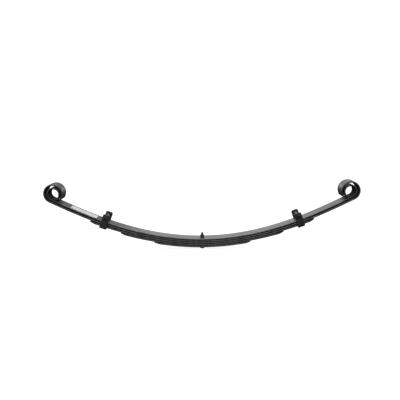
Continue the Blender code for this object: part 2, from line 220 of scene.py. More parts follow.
# ---- camera ----
CAMERA_DISTANCE = 2.0929
CAMERA_HEIGHT = 0.4855 + PACK_HEIGHT
CAMERA_PITCH = 9.296  # degrees below the horizon
CAMERA_YAW = 0.190
CAMERA_ROLL = -0.631
FOCAL_LENGTH = 50.69
SENSOR_WIDTH = 36.0
NEAREST = 0.01
FARTHEST = 100.0


# ================================================================ meshes
def finished_mesh(work, name):
    bmesh.ops.recalc_face_normals(work, faces=work.faces)
    mesh = bpy.data.meshes.new(name)
    work.to_mesh(mesh)
    work.free()
    mesh.shade_smooth()
    mesh.set_sharp_from_angle(angle=math.radians(SMOOTH_ANGLE))
    return mesh


def make_piece(name, mesh, material):
    piece = bpy.data.objects.new(name, mesh)
    bpy.context.scene.collection.objects.link(piece)
    mesh.materials.append(material)
    return piece


def placed(mesh, matrix):
    mesh.transform(matrix)
    return mesh


def cut_hole(piece, tool_mesh):
    """Takes the tool's shape out of the piece for good."""
    tool = bpy.data.objects.new(f"{piece.name}_tool", tool_mesh)
    bpy.context.scene.collection.objects.link(tool)
    modifier = piece.modifiers.new("hole", "BOOLEAN")
    modifier.operation = "DIFFERENCE"
    modifier.solver = "EXACT"
    modifier.object = tool
    graph = bpy.context.evaluated_depsgraph_get()
    cut = bpy.data.meshes.new_from_object(piece.evaluated_get(graph))
    piece.modifiers.clear()
    piece.data = cut
    cut.set_sharp_from_angle(angle=math.radians(SMOOTH_ANGLE))
    bpy.data.objects.remove(tool, do_unlink=True)


# ---------------------------------------------------------------- what a piece stands for
def ride_for(piece, node, body, slot):
    """The piece stands for the node and moves with the body."""
    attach(piece, body)
    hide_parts(node)


def bend_for(piece, node, side_name):
    """The piece stands for the node, or for its half of it, and bends with the side's arm."""
    side = SIDES[side_name]
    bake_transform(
        piece,
        "leaf_pack",
        f"{side_name}_arm",
        start=(side * BEND_FROM, 0, 0),
        end=(side * BEND_TO, 0, 0),
    )
    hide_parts(node)


# ---------------------------------------------------------------- strips
# A strip is swept through stations: `point` is on its upper side, `across` and `up` are its section's axes,
# `along` is its length so far, and the last is how much sheen its upper side loses: painted shade where the
# main leaf's top face runs into its eye, and a darker, rougher upper side inside the eyes.
Station = namedtuple("Station", "point across up half_width thickness along dull", defaults=(0.0,))


def edge_profile(station, edge):
    """(across, up, wear) down one side of the section, from its top face to its bottom face."""
    wide = station.half_width
    deep = station.thickness
    depth = min(edge.depth, MOST_EDGE_SHARE * deep)
    loops = (min(LOOP_INSET, wide / 2), min(NEAR_LOOP_INSET, wide / 4))
    points = [(wide - loop, 0.0, 0.0) for loop in loops]
    for i in range(EDGE_STEPS + 1):
        turn = math.pi * (0.5 - i / EDGE_STEPS)
        out = abs(math.cos(turn)) ** (2 / edge.roundness)
        rise = math.copysign(abs(math.sin(turn)) ** (2 / edge.roundness), turn)
        shoulder = abs(math.sin(2 * turn))
        points.append((wide - depth * (1 - out), deep / 2 * (rise - 1), shoulder))
    points += [(wide - loop, -deep, 0.0) for loop in reversed(loops)]
    return points


def ring_points(station, edge):
    """(across, up, wear, way round) all round the section: down the +across side, then up the other."""
    side = edge_profile(station, edge)
    way = side[0][0]
    plus = []
    for before, after in zip([side[0], *side], side):
        way += math.dist(before[:2], after[:2])
        plus.append((*after, way))
    minus = [(-across, up, wear, -way) for across, up, wear, way in reversed(plus)]
    return plus + minus


def strip_ring(work, station, edge):
    """The section's vertices, each with its way round."""
    wear_layer = work.verts.layers.float["wear"]
    dull_and_shade_layer = work.verts.layers.float["dull"]
    ring = []
    for across, up, wear, way in ring_points(station, edge):
        vert = work.verts.new(station.point + across * station.across + up * station.up)
        vert[wear_layer] = wear
        # The upper side carries the loss of sheen: painted shade towards the eye, darker inside it.
        vert[dull_and_shade_layer] = station.dull if up > -edge.depth else 0.0
        ring.append((vert, way))
    return ring


def join_strip_rings(work, uv_layer, first, second, here, there):
    """Faces between two rings, where `here` and `there` are their stations."""
    count = len(first)
    underside = count // 2 - 1
    for i in range(count):
        j = (i + 1) % count
        corners = (first[i], first[j], second[j], second[i])
        face = work.faces.new([vert for vert, _ in corners])
        alongs = (here.along, here.along, there.along, there.along)
        for loop, (_, way), along in zip(face.loops, corners, alongs):
            # The way round is counted down each side, so the underside's face carries on from the first.
            if i == underside and way < 0:
                way = first[i][1] + 2 * (here.half_width - LOOP_INSET)
            loop[uv_layer].uv = (along, way)


def close_strip_end(work, uv_layer, ring, station):
    face = work.faces.new([vert for vert, _ in ring])
    for loop in face.loops:
        offset = loop.vert.co - station.point
        loop[uv_layer].uv = (station.along + offset.dot(station.up), offset.dot(station.across))


def sweep(name, stations, edge):
    """A closed strip through the stations. Its UV map is metres along the strip and round its section."""
    work = bmesh.new()
    uv_layer = work.loops.layers.uv.new("strip_metres")
    work.verts.layers.float.new("wear")
    work.verts.layers.float.new("dull")
    rings = [strip_ring(work, station, edge) for station in stations]
    for k in range(len(rings) - 1):
        join_strip_rings(work, uv_layer, rings[k], rings[k + 1], stations[k], stations[k + 1])
    close_strip_end(work, uv_layer, rings[0], stations[0])
    close_strip_end(work, uv_layer, rings[-1], stations[-1])
    return finished_mesh(work, name)


def rounded_end(stations):
    """Stations that round off the edges past the last one."""
    before, last = stations[-2], stations[-1]
    onward = (last.point - before.point).normalized()
    direction = math.copysign(1, last.along - before.along)
    for i in range(1, END_STEPS + 1):
        turn = math.radians(90) * i / END_STEPS
        inset = END_RADIUS * (1 - math.cos(turn))
        reach = END_RADIUS * math.sin(turn)
        yield last._replace(
            point=last.point + reach * onward - inset * last.up,
            half_width=last.half_width - inset,
            thickness=last.thickness - 2 * inset,
            along=last.along + direction * reach,
        )


# ---------------------------------------------------------------- turned pieces
# A ring is a function from an angle to (radius, height).
def even(radius, height):
    return lambda angle: (radius, height)


def threaded(radius, depth, pitch, height):
    """A ring of a screw thread: the radius rises and falls once in a pitch and once in a turn."""

    def ring(angle):
        phase = (height / pitch - angle / (2 * math.pi)) % 1
        return radius - depth * abs(2 * phase - 1), height

    return ring


def hexed(flats, height, chamfer=0.0, up=1):
    """A ring of a hexagonal piece. A chamfer pulls the corners back along the axis, as turning does."""
    half = flats / 2

    def ring(angle):
        off = (angle + math.radians(30)) % math.radians(60) - math.radians(30)
        radius = half / math.cos(off)
        back = max(0.0, radius - half + chamfer) * math.tan(math.radians(30))
        return radius, height - up * back

    return ring


def turned_over(ring):
    """The ring with its height's sign changed."""

    def flipped(angle):
        radius, height = ring(angle)
        return radius, -height

    return flipped


def edge_wear(vert):
    """From 0 on flat or hollow places to 1 on sharp edges."""
    sharpest = max(math.degrees(edge.calc_face_angle_signed(0)) for edge in vert.link_edges)
    share = (sharpest - WEAR_FROM_ANGLE) / (WEAR_FULL_ANGLE - WEAR_FROM_ANGLE)
    return min(1.0, max(0.0, share))


def lathe(name, rings, through=False):
    """A closed solid of rings round Z. With `through`, the last ring joins the first round a hole."""
    work = bmesh.new()
    wear_layer = work.verts.layers.float.new("wear")
    loops = []
    for ring in rings:
        verts = []
        for i in range(ROUND_SIDES):
            angle = 2 * math.pi * i / ROUND_SIDES
            radius, height = ring(angle)
            verts.append(work.verts.new((radius * math.cos(angle), radius * math.sin(angle), height)))
        loops.append(verts)
    pairs = list(zip(loops, loops[1:]))
    if through:
        pairs.append((loops[-1], loops[0]))
    for first, second in pairs:
        for i in range(ROUND_SIDES):
            j = (i + 1) % ROUND_SIDES
            work.faces.new((first[i], first[j], second[j], second[i]))
    if not through:
        work.faces.new(loops[0])
        work.faces.new(loops[-1])
    bmesh.ops.recalc_face_normals(work, faces=work.faces)
    for vert in work.verts:
        vert[wear_layer] = edge_wear(vert)
    return finished_mesh(work, name)


def hex_rings(flats, low, high):
    """Rings up the outside of a hexagonal nut or head with both ends chamfered."""
    top_radius = HEX_TOP_SHARE * flats / 2
    chamfer = flats / 2 - top_radius
    return [
        even(top_radius - HEX_TOP_LOOP, low),
        even(top_radius, low),
        hexed(flats, low, chamfer, up=-1),
        hexed(flats, low + HEX_SIDE_LOOP),
        hexed(flats, high - HEX_SIDE_LOOP),
        hexed(flats, high, chamfer, up=1),
        even(top_radius, high),
        even(top_radius - HEX_TOP_LOOP, high),
    ]


def nut_rings(flats, low, high, bore):
    return hex_rings(flats, low, high) + [
        even(bore + COUNTERSINK, high),
        even(bore, high - COUNTERSINK),
        even(bore, low + COUNTERSINK),
        even(bore + COUNTERSINK, low),
    ]


def thread_rings(radius, pitch, low, high):
    """Rings of a threaded end that points up, with its start chamfered."""
    depth = THREAD_DEPTH_SHARE * pitch
    steps = round((high - low) / pitch * THREAD_STEPS)
    rings = []
    for i in range(steps + 1):
        height = low + (high - low) * i / steps
        left = high - height
        narrowing = max(0.0, depth - left)
        rings.append(threaded(radius - narrowing, max(0.0, depth - narrowing), pitch, height))
    return rings


def straight_drill(radius, low, high):
    return lathe("straight_drill", [even(radius, low), even(radius, high)])


# ================================================================ the arch, as in the CAD
def arch_angle(s):
    return CENTER_CURVATURE * s * (1 - s * s / (3 * STRAIGHT_AT**2))


def arch_run(s):
    step = s / INTEGRATION_STEPS
    angles = [arch_angle((i + 0.5) * step) for i in range(INTEGRATION_STEPS)]
    return sum(math.cos(a) for a in angles) * step, sum(math.sin(a) for a in angles) * step


SEAT_RISE = arch_run(SEAT_FLAT)[1]


def arch_frame(s, depth=0.0):
    """Point and up direction at arc length s, `depth` below the main leaf's top face."""
    if s < SEAT_FLAT:
        return Vector((s, 0, PACK_HEIGHT - depth)), Vector((0, 0, 1))
    x, rise = arch_run(s)
    angle = arch_angle(s)
    up = Vector((-math.sin(angle), 0, math.cos(angle)))
    return Vector((x, 0, PACK_HEIGHT + rise - SEAT_RISE)) - depth * up, up


def leaf_gap(s):
    share = min(1.0, s / SHORT_LEAF_HALF_LENGTHS[0])
    return SEAT_GAP + (TIP_GAP - SEAT_GAP) * share**3


def leaf_depth(leaf, s):
    return leaf * (LEAF_THICKNESS + leaf_gap(s))


def arch_station(leaf, s, width_share=1.0, thickness_share=1.0):
    point, up = arch_frame(s, leaf_depth(leaf, s))
    return Station(
        point,
        Vector((0, 1, 0)),
        up,
        HALF_WIDTH * width_share,
        LEAF_THICKNESS * thickness_share,
        s,
    )


def arch_lengths(end):
    """Arc lengths from the center bolt out to `end`."""
    steps = max(2, round((end - SEAT_FLAT) / ARCH_STEP))
    return [0.0] + [SEAT_FLAT + (end - SEAT_FLAT) * i / steps for i in range(steps + 1)]


def on_side(stations, side):
    """The stations as they are for the rear arm, or mirrored for the front arm."""
    if side > 0:
        return list(stations)
    flip = Matrix.Diagonal((-1, 1, 1))
    return [s._replace(point=flip @ s.point, up=flip @ s.up, along=-s.along) for s in stations]


def curl_stations(leaf, tangent_at, radius, end_angle):
    """A strip rolled upwards round a circle that its top face touches at tangent_at."""
    start = arch_station(leaf, tangent_at)
    center = start.point + radius * start.up
    steps = round((end_angle + 90) / CURL_STEP)
    for i in range(1, steps + 1):
        turned = math.radians((end_angle + 90) * i / steps)
        up = Matrix.Rotation(-turned, 3, "Y") @ start.up
        along = start.along + turned * (radius + LEAF_THICKNESS / 2)
        # Inside the eye the curl's upper side loses all its sheen.
        yield start._replace(point=center - radius * up, up=up, along=along, dull=1.0)


# ================================================================ leaves
def main_half():
    stations = []
    for s in arch_lengths(EYE_AT):
        # Painted shade: the top face loses its sheen towards the eye, standing in for the eye's shadow and
        # dark reflection on it.
        dull = max(0.0, (s - EYE_SHADE_FROM) / (EYE_AT - EYE_SHADE_FROM))
        stations.append(arch_station(MAIN, s)._replace(dull=dull))
    stations += curl_stations(MAIN, EYE_AT, EYE_RADIUS, EYE_END_ANGLE)
    stations += rounded_end(stations)
    return stations


def wrapper_half():
    stations = [arch_station(WRAPPER, s) for s in arch_lengths(WRAP_AT)]
    stations += curl_stations(WRAPPER, WRAP_AT, WRAP_RADIUS, WRAP_END_ANGLE)
    last = stations[-1]
    onward = last.across.cross(last.up)
    length = WRAP_STRAIGHT - END_RADIUS
    stations.append(last._replace(point=last.point + length * onward, along=last.along + length))
    stations += rounded_end(stations)
    return stations


def tip_shares(left):
    """Shares of the width and thickness that remain with `left` metres to go to a short leaf's tip."""
    share = min(1.0, left / TIP_CUT)
    width = TIP_CUT_WIDTH + (1 - TIP_CUT_WIDTH) * share
    thickness = TIP_THIN + (1 - TIP_THIN) * share
    return width, thickness


def short_half(leaf, half_length):
    end = half_length - END_RADIUS
    cut_from = half_length - TIP_CUT
    stations = [arch_station(leaf, s) for s in arch_lengths(cut_from)]
    for i in range(1, TIP_STEPS + 1):
        s = cut_from + (end - cut_from) * i / TIP_STEPS
        stations.append(arch_station(leaf, s, *tip_shares(half_length - s)))
    stations += rounded_end(stations)
    return stations


def make_leaf_half(node, side_name, stations, material):
    name = f"{node}_{side_name}"
    half = make_piece(name, sweep(name, on_side(stations, SIDES[side_name]), ROLLED_EDGE), material)
    cut_hole(half, straight_drill(CENTER_BOLT_DIAMETER / 2 + TOUCH_GAP, -PACK_HEIGHT, 2 * PACK_HEIGHT))
    if node == "third_leaf":
        cut_hole(half, placed(rivet_drill(), clip_matrix(side_name)))
    bend_for(half, node, side_name)


def make_leaves(material):
    halves = {"main_leaf": main_half(), "wrapper_leaf": wrapper_half()}
    names = ("third_leaf", "fourth_leaf", "fifth_leaf")
    for leaf, (name, half_length) in enumerate(zip(names, SHORT_LEAF_HALF_LENGTHS), start=THIRD):
        halves[name] = short_half(leaf, half_length)
    for node, stations in halves.items():
        for side_name in SIDES:
            make_leaf_half(node, side_name, stations, material)


def make_tip_pad(leaf_name, leaf, side_name, material):
    """A thin pad between a short leaf's tip and the leaf above it."""
    outer = SHORT_LEAF_HALF_LENGTHS[leaf - THIRD] - PAD_INSET
    stations = []
    for i in range(PAD_STEPS + 1):
        s = outer - PAD_LENGTH * (1 - i / PAD_STEPS)
        point, up = arch_frame(s, leaf_depth(leaf, s) - leaf_gap(s) + TOUCH_GAP)
        thickness = leaf_gap(s) - 2 * TOUCH_GAP
        stations.append(Station(point, Vector((0, 1, 0)), up, PAD_WIDTH / 2, thickness, s))
    node = f"{leaf_name}_{side_name}_pad"
    mesh = sweep(node, on_side(stations, SIDES[side_name]), THIN_EDGE)
    bend_for(make_piece(f"{node}_molded", mesh, material), node, side_name)


def make_tip_pads(material):
    for leaf_name, leaf in (("third_leaf", THIRD), ("fourth_leaf", THIRD + 1)):
        for side_name in SIDES:
            make_tip_pad(leaf_name, leaf, side_name, material)


def make_label(material):
    """A blank label on the front arm's top face, its corners rounded."""
    stations = []
    for i in range(LABEL_STEPS + 1):
        s = LABEL_FROM + (LABEL_TO - LABEL_FROM) * i / LABEL_STEPS
        from_end = min(s - LABEL_FROM, LABEL_TO - s)
        inset = 0.0
        if from_end < LABEL_CORNER:
            inset = LABEL_CORNER - math.sqrt(LABEL_CORNER**2 - (LABEL_CORNER - from_end) ** 2)
        point, up = arch_frame(s, -(LABEL_THICKNESS + TOUCH_GAP / 2))
        point.y = LABEL_OFFSET
        half_width = LABEL_WIDTH / 2 - inset
        stations.append(Station(point, Vector((0, 1, 0)), up, half_width, LABEL_THICKNESS, s))
    mesh = sweep("blank_label", on_side(stations, SIDES["front"]), THIN_EDGE)
    bend_for(make_piece("blank_label", mesh, material), "label", "front")


# ================================================================ center bolt
def make_center_bolt(material):
    shank = CENTER_BOLT_DIAMETER / 2
    head = CENTER_HEAD_DIAMETER / 2
    bottom = -TOUCH_GAP - CENTER_HEAD_HEIGHT
    thread_from = PACK_HEIGHT + TOUCH_GAP + CENTER_NUT_HEIGHT - CENTER_THREAD_PITCH
    rings = [even(head - 2 * HEAD_EDGE_RADIUS, bottom)]
    for i in range(HEAD_EDGE_STEPS + 1):
        turn = math.radians(90) * (1 - i / HEAD_EDGE_STEPS)
        inset = HEAD_EDGE_RADIUS * (1 - math.cos(turn))
        rings.append(even(head - inset, bottom + HEAD_EDGE_RADIUS * (1 - math.sin(turn))))
    rings += [
        even(head, -TOUCH_GAP - HEAD_SHOULDER[1]),
        even(head - HEAD_SHOULDER[0], -TOUCH_GAP),
        even(shank, -TOUCH_GAP),
        even(shank, thread_from - THREAD_LOOP),
    ]
    rings += thread_rings(shank, CENTER_THREAD_PITCH, thread_from, PACK_HEIGHT + CENTER_STUD)
    bolt = make_piece("center_bolt_turned", lathe("center_bolt_turned", rings), material)
    ride_for(bolt, "center_bolt", "leaf_pack", "fastener")


def make_center_nut(material):
    low = PACK_HEIGHT + TOUCH_GAP
    bore = CENTER_BOLT_DIAMETER / 2 + TOUCH_GAP
    rings = nut_rings(CENTER_NUT_FLATS, low, low + CENTER_NUT_HEIGHT, bore)
    nut = make_piece("center_nut_turned", lathe("center_nut_turned", rings, through=True), material)
    ride_for(nut, "center_nut", "leaf_pack", "fastener")


# ================================================================ clips
# A clip is made in its own frame: X along the leaf, Y across, Z up, origin on the main leaf's top face.
def clip_matrix(side_name):
    side = SIDES[side_name]
    point, _ = arch_frame(CLIP_AT)
    point.x *= side
    return Matrix.Translation(point) @ Matrix.Rotation(-side * arch_angle(CLIP_AT), 4, "Y")


def bolt_line():
    """Takes a piece that was turned about Z to the clip bolt's line, its +Z end towards -Y."""
    return Matrix.Translation((0, 0, CLIP_BOLT_HEIGHT)) @ Matrix.Rotation(math.radians(90), 4, "X")


def clip_floor():
    """Height of the strap's inner face under the third leaf, which drops away towards its tip."""
    lowest = leaf_depth(THIRD, CLIP_AT + CLIP_WIDTH / 2) + LEAF_THICKNESS
    return -lowest - TOUCH_GAP


def strap_side():
    return HALF_WIDTH + CLIP_SIDE_GAP


def clip_outside():
    """From the middle of the clip to the bolt's head on one side, and to its nut on the other."""
    return strap_side() + CLIP_THICKNESS + TOUCH_GAP


def strap_station(y, z, up, half_width=CLIP_WIDTH / 2):
    return Station(Vector((0, y, z)), Vector((1, 0, 0)), up, half_width, CLIP_THICKNESS, 0.0)


def half_strap_stations():
    """The strap's inner face from the +Y ear's top, down and round the bend."""
    side = strap_side()
    floor = clip_floor()
    inward = Vector((0, -1, 0))
    stations = []
    for i in range(EAR_CORNER_STEPS + 1):
        turn = math.radians(90) * i / EAR_CORNER_STEPS
        z = CLIP_EAR_HEIGHT - END_RADIUS - CLIP_CORNER * (1 - math.cos(turn))
        stations.append(strap_station(side, z, inward, CLIP_WIDTH / 2 - CLIP_CORNER * (1 - math.sin(turn))))
    straight_from = stations[-1].point.z
    straight_to = floor + CLIP_BEND_RADIUS
    for i in range(1, STRAP_SIDE_STEPS):
        z = straight_from + (straight_to - straight_from) * i / STRAP_SIDE_STEPS
        stations.append(strap_station(side, z, inward))
    center = Vector((0, side - CLIP_BEND_RADIUS, floor + CLIP_BEND_RADIUS))
    for i in range(STRAP_BEND_STEPS + 1):
        turn = math.radians(90) * i / STRAP_BEND_STEPS
        up = Vector((0, -math.cos(turn), math.sin(turn)))
        place = center - CLIP_BEND_RADIUS * up
        stations.append(strap_station(place.y, place.z, up))
    return stations


def measured(stations):
    """The stations with `along` measured from the first."""
    along = 0.0
    result = [stations[0]]
    for before, after in zip(stations, stations[1:]):
        along += (after.point - before.point).length
        result.append(after._replace(along=along))
    return result


def strap_stations():
    """The strap's inner face, from the +Y ear's top, down, under the leaves and up the -Y ear."""
    half = half_strap_stations()
    flip = Matrix.Diagonal((1, -1, 1))
    other = [s._replace(point=flip @ s.point, up=flip @ s.up) for s in reversed(half)]
    stations = measured(half + other)
    tail = list(rounded_end(stations))
    head = list(rounded_end(stations[::-1]))
    return head[::-1] + stations + tail


def rivet_rings():
    """Round head under the strap, shank, and a countersunk end in the third leaf's top."""
    shank = RIVET_DIAMETER / 2
    under = clip_floor() - CLIP_THICKNESS - TOUCH_GAP
    top = -leaf_depth(THIRD, CLIP_AT) - TOUCH_GAP
    head = RIVET_HEAD_DIAMETER / 2
    rings = []
    for i in range(1, RIVET_DOME_STEPS + 1):
        turn = math.radians(90) * i / RIVET_DOME_STEPS
        rings.append(even(head * math.sin(turn), under - RIVET_HEAD_HEIGHT * math.cos(turn)))
    return rings + [
        even(shank, under),
        even(shank, top - RIVET_SINK),
        even(shank + RIVET_SINK, top),
    ]


def rivet_drill():
    """The rivet's hole in the third leaf, which widens towards its top as the rivet does."""
    shank = RIVET_DIAMETER / 2 + TOUCH_GAP
    top = -leaf_depth(THIRD, CLIP_AT)
    slope_from = top - TOUCH_GAP - RIVET_SINK
    above = top + RIVET_SINK
    return lathe("rivet_drill", [
        even(shank, clip_floor() - RIVET_DRILL_REACH),
        even(shank, slope_from),
        even(shank + above - slope_from, above),
    ])


def clip_bolt_rings():
    """Threaded end at -Z, which sticks out of the nut, then the shank and the head."""
    outside = clip_outside()
    radius = CLIP_BOLT_DIAMETER / 2
    thread_from = outside + CLIP_NUT_HEIGHT - CLIP_THREAD_PITCH
    tail = outside + CLIP_NUT_HEIGHT + CLIP_BOLT_STICKOUT
    thread = thread_rings(radius, CLIP_THREAD_PITCH, thread_from, tail)
    rings = [turned_over(ring) for ring in reversed(thread)]
    rings.append(even(radius, THREAD_LOOP - thread_from))
    rings.append(even(radius, outside))
    return rings + hex_rings(CLIP_HEX_FLATS, outside, outside + CLIP_HEAD_HEIGHT)


def clip_nut_rings():
    outside = clip_outside()
    bore = CLIP_BOLT_DIAMETER / 2 + TOUCH_GAP
    return nut_rings(CLIP_HEX_FLATS, -outside - CLIP_NUT_HEIGHT, -outside, bore)


def spacer_rings():
    reach = strap_side() - TOUCH_GAP
    outer = SPACER_DIAMETER / 2
    bore = CLIP_BOLT_DIAMETER / 2 + TOUCH_GAP
    return [
        even(bore, SPACER_EDGE - reach),
        even(bore + SPACER_EDGE, -reach),
        even(outer - SPACER_EDGE, -reach),
        even(outer, SPACER_EDGE - reach),
        even(outer, SPACER_LOOP - reach),
        even(outer, reach - SPACER_LOOP),
        even(outer, reach - SPACER_EDGE),
        even(outer - SPACER_EDGE, reach),
        even(bore + SPACER_EDGE, reach),
        even(bore, reach - SPACER_EDGE),
    ]


def make_strap(side_name, material):
    node = f"{side_name}_clip_strap"
    strap = make_piece(f"{node}_bent", sweep(node, strap_stations(), SHEARED_EDGE), material)
    reach = strap_side() + 2 * CLIP_THICKNESS
    cut_hole(strap, placed(straight_drill(CLIP_BOLT_DIAMETER / 2 + TOUCH_GAP, -reach, reach), bolt_line()))
    low = clip_floor() - 2 * CLIP_THICKNESS
    high = clip_floor() + DRILL_PAST
    cut_hole(strap, straight_drill(RIVET_DIAMETER / 2 + TOUCH_GAP, low, high))
    placed(strap.data, clip_matrix(side_name))
    ride_for(strap, node, f"{side_name}_arm", "clip_paint")


TurnedPiece = namedtuple("TurnedPiece", "name rings through on_bolt_line body slot")
TURNED_CLIP_PIECES = (
    TurnedPiece("bolt", clip_bolt_rings, False, True, "arm", "fastener"),
    TurnedPiece("nut", clip_nut_rings, True, True, "arm", "fastener"),
    TurnedPiece("rivet", rivet_rings, False, False, "arm", "clip_paint"),
    TurnedPiece("spacer", spacer_rings, True, True, "spacer", "clip_paint"),
)


def make_clip(side_name, materials):
    make_strap(side_name, materials["clip_paint"])
    for kind in TURNED_CLIP_PIECES:
        node = f"{side_name}_clip_{kind.name}"
        mesh = lathe(node, kind.rings(), through=kind.through)
        if kind.on_bolt_line:
            placed(mesh, bolt_line())
        placed(mesh, clip_matrix(side_name))
        piece = make_piece(f"{node}_turned", mesh, materials[kind.slot])
        ride_for(piece, node, f"{side_name}_{kind.body}", kind.slot)


# ================================================================ materials
def add_node(tree, kind, sockets=None, **options):
    """A node with its options set. A socket given as a socket is linked, anything else is its value."""
    node = tree.nodes.new(f"ShaderNode{kind}")
    for option, value in options.items():
        setattr(node, option, value)
    for name, value in (sockets or {}).items():
        if isinstance(value, bpy.types.NodeSocket):
            tree.links.new(value, node.inputs[name])
        else:
            node.inputs[name].default_value = value
    return node


def strip_place(tree):
    """Metres along a strip and round its section."""
    return add_node(tree, "UVMap", uv_map="strip_metres").outputs["UV"]


def object_place(tree):
    return add_node(tree, "TexCoord").outputs["Object"]


def attribute(tree, name):
    return add_node(tree, "Attribute", attribute_name=name).outputs["Fac"]


def noise(tree, where, scale, detail=3.0, roughness=0.55):
    sockets = {"Vector": where, "Scale": scale, "Detail": detail, "Roughness": roughness}
    return add_node(tree, "TexNoise", sockets).outputs["Fac"]


def remap(tree, value, low, high, to_low=0.0, to_high=1.0):
    sockets = {"Value": value, "From Min": low, "From Max": high, "To Min": to_low, "To Max": to_high}
    return add_node(tree, "MapRange", sockets).outputs["Result"]


def stretched(tree, where, scale):
    return add_node(tree, "Mapping", {"Vector": where, "Scale": scale}).outputs["Vector"]


def math_node(tree, operation, first, second):
    node = add_node(tree, "Math", operation=operation)
    for socket, value in zip(node.inputs, (first, second)):
        if isinstance(value, bpy.types.NodeSocket):
            tree.links.new(value, socket)
        else:
            socket.default_value = value
    return node.outputs["Value"]


def product(tree, first, second):
    return math_node(tree, "MULTIPLY", first, second)


def mixed(tree, share, first, second):
    sockets = {"Fac": share, "Color1": first, "Color2": second}
    return add_node(tree, "MixRGB", sockets).outputs["Color"]


def bumped(tree, layers):
    """Bump layers of (height, distance in metres), one on top of another."""
    normal = None
    for height, distance in layers:
        sockets = {"Height": height, "Distance": distance, "Strength": 1.0}
        if normal:
            sockets["Normal"] = normal
        normal = add_node(tree, "Bump", sockets).outputs["Normal"]
    return normal


def start_material(name, specular=0.5, metallic=0.0):
    material = bpy.data.materials.new(name)
    material.use_nodes = True
    tree = material.node_tree
    shader = tree.nodes["Principled BSDF"]
    shader.inputs["Specular IOR Level"].default_value = specular
    shader.inputs["Metallic"].default_value = metallic
    return material, tree, shader


def finish_shader(tree, shader, colour, roughness, normal):
    tree.links.new(colour, shader.inputs["Base Color"])
    tree.links.new(roughness, shader.inputs["Roughness"])
    tree.links.new(normal, shader.inputs["Normal"])


def grey(value, warmth=0.0):
    return (value + warmth, value, value - warmth, 1.0)


def painted_steel(name, place, paint):
    """Satin black paint over hot-rolled steel: mottled, a little dusty, thin along the shoulders; painted
    shade takes its sheen towards and inside the eyes.
    """
    material, tree, shader = start_material(name)
    where = place(tree)
    mottle = noise(tree, where, 14.0)
    cloud = noise(tree, where, 55.0, detail=5.0)
    speckle = noise(tree, where, 420.0, detail=2.0)
    streak = noise(tree, stretched(tree, where, (2.0, 90.0, 20.0)), 4.0, detail=4.0)
    band = noise(tree, stretched(tree, where, (60.0, 5.0, 5.0)), 1.0, detail=2.0)
    ripple = noise(tree, where, 160.0, detail=2.0)
    grain = noise(tree, where, 900.0, detail=3.0)

    dust = product(tree, remap(tree, cloud, 0.48, 0.72), remap(tree, speckle, 0.35, 0.65))
    chipped = product(tree, attribute(tree, "wear"), remap(tree, cloud, 0.42, 0.62))
    chipped = product(tree, chipped, remap(tree, speckle, 0.30, 0.60, 0.2, 1.0))
    chipped = product(tree, chipped, paint.wear)
    # Painted shade: where this is 1 the paint loses its sheen and turns a little greyer, towards and inside
    # the main leaf's eyes.
    dull = attribute(tree, "dull")

    shades = (grey(paint.tone * 0.8), grey(paint.tone * 1.2, -0.001))
    colour = mixed(tree, remap(tree, mottle, 0.35, 0.65), *shades)
    colour = mixed(tree, product(tree, dust, 0.35), colour, grey(0.075, 0.003))
    colour = mixed(tree, chipped, colour, grey(0.13, 0.002))
    colour = mixed(tree, dull, colour, grey(0.030, 0.002))

    rough = remap(tree, streak, 0.3, 0.7, paint.roughness - 0.06, paint.roughness + 0.07)
    rough = math_node(tree, "ADD", rough, product(tree, dust, 0.14))
    rough = math_node(tree, "ADD", rough, product(tree, dull, 0.5))
    # The painted shade at the eyes turns the sheen down.
    tree.links.new(remap(tree, dull, 0.0, 1.0, 0.5, 0.1), shader.inputs["Specular IOR Level"])
    normal = bumped(tree, ((band, 0.00035), (ripple, 0.00012), (grain, 0.00003)))
    finish_shader(tree, shader, colour, rough, normal)
    return material


def blackened_fastener(name):
    """Black phosphate over steel, rubbed on its corners."""
    material, tree, shader = start_material(name, metallic=0.35)
    where = object_place(tree)
    cloud = noise(tree, where, 240.0, detail=4.0)
    grain = noise(tree, where, 1500.0, detail=3.0)
    rubbed = product(tree, attribute(tree, "wear"), remap(tree, cloud, 0.40, 0.62, 0.0, 0.75))
    colour = mixed(tree, remap(tree, cloud, 0.35, 0.65), grey(0.010), grey(0.022, 0.001))
    colour = mixed(tree, rubbed, colour, grey(0.16, 0.002))
    rough = remap(tree, grain, 0.3, 0.7, 0.34, 0.50)
    finish_shader(tree, shader, colour, rough, bumped(tree, ((cloud, 0.00005), (grain, 0.00002))))
    return material


def molded_plastic(name):
    """Dark, slightly cloudy plastic with a fine grain."""
    material, tree, shader = start_material(name, specular=0.4)
    where = strip_place(tree)
    cloud = noise(tree, where, 90.0, detail=4.0)
    grain = noise(tree, where, 1800.0, detail=3.0)
    colour = mixed(tree, remap(tree, cloud, 0.35, 0.65), grey(0.024), grey(0.040, 0.001))
    rough = remap(tree, grain, 0.3, 0.7, 0.52, 0.66)
    finish_shader(tree, shader, colour, rough, bumped(tree, ((grain, 0.00003),)))
    return material


